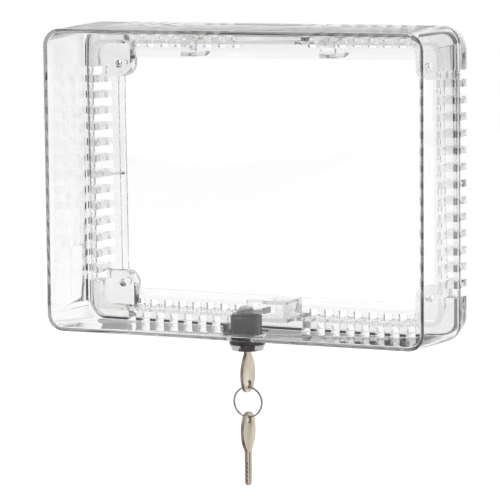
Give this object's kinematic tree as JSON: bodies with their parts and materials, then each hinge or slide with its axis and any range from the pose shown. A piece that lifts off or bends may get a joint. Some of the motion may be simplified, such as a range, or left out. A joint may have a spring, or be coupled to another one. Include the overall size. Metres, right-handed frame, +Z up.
{
  "type": "thermostat lock box",
  "caption": "Clear wall guard for a thermostat: slotted ring base, deep cover that tilts up on top hooks, and a key cam lock in its bottom wall.",
  "frame": {"origin": "centre of the four wall screw holes, on the wall face of the ring base", "axes": "+X to the right as seen from the room, +Y into the wall, +Z up"},
  "size_m": [0.242, 0.0715, 0.27],
  "materials": {
    "clear_plastic": "polished clear polycarbonate",
    "lock_metal": "dark bright plating on zinc",
    "steel": "bright zinc plated",
    "brass": "plain stamped",
    "key_metal": "nickel silver, lightly brushed"
  },
  "bodies": {
    "base": {"ring_base": "clear_plastic"},
    "cover": {"cover": "clear_plastic", "lock_housing": "lock_metal", "retaining_clip": "lock_metal"},
    "plug": {"lock_plug": "lock_metal", "stop_washer": "steel", "cam": "steel", "cam_washer": "steel", "cam_screw": "steel", "wafer_spring_1": "steel", "wafer_spring_2": "steel", "wafer_spring_3": "steel", "wafer_spring_4": "steel", "wafer_spring_5": "steel"},
    "wafers": {"wafer_1": "brass", "wafer_2": "brass", "wafer_3": "brass", "wafer_4": "brass", "wafer_5": "brass"},
    "key": {"lock_key": "key_metal"},
    "ring": {"key_ring": "steel"},
    "spare": {"spare_key": "key_metal"}
  },
  "joints": [
    {"name": "cover_tilt", "type": "hinge", "parent": "base", "child": "cover", "pos_m": [0, -0.015, 0.0903], "axis": [-1, 0, 0], "range_deg": [0, 60]},
    {"name": "lock_turn", "type": "hinge", "parent": "cover", "child": "plug", "pos_m": [0, -0.047, -0.0872], "axis": [0, 0, 1], "range_deg": [0, 90]},
    {"name": "key_pull", "type": "slide", "parent": "plug", "child": "key", "axis": [0, 0, -1], "range_m": [0, 0.02]},
    {"name": "wafer_slide", "type": "slide", "parent": "plug", "child": "wafers", "axis": [0, 1, 0], "range_m": [0, 0.001], "deforming": ["wafer_spring_1", "wafer_spring_2", "wafer_spring_3", "wafer_spring_4", "wafer_spring_5"]},
    {"name": "ring_swing", "type": "hinge", "parent": "key", "child": "ring", "pos_m": [0, -0.047, -0.11829], "axis": [1, 0, 0], "range_deg": [-60, 35]},
    {"name": "spare_key_swing", "type": "hinge", "parent": "ring", "child": "spare", "pos_m": [0, -0.047, -0.13957], "axis": [1, 0, 0], "range_deg": [-60, 25]}
  ],
  "couplings": [
    {"joint": "wafer_slide", "follows": "key_pull", "ratio": 0.05}
  ]
}
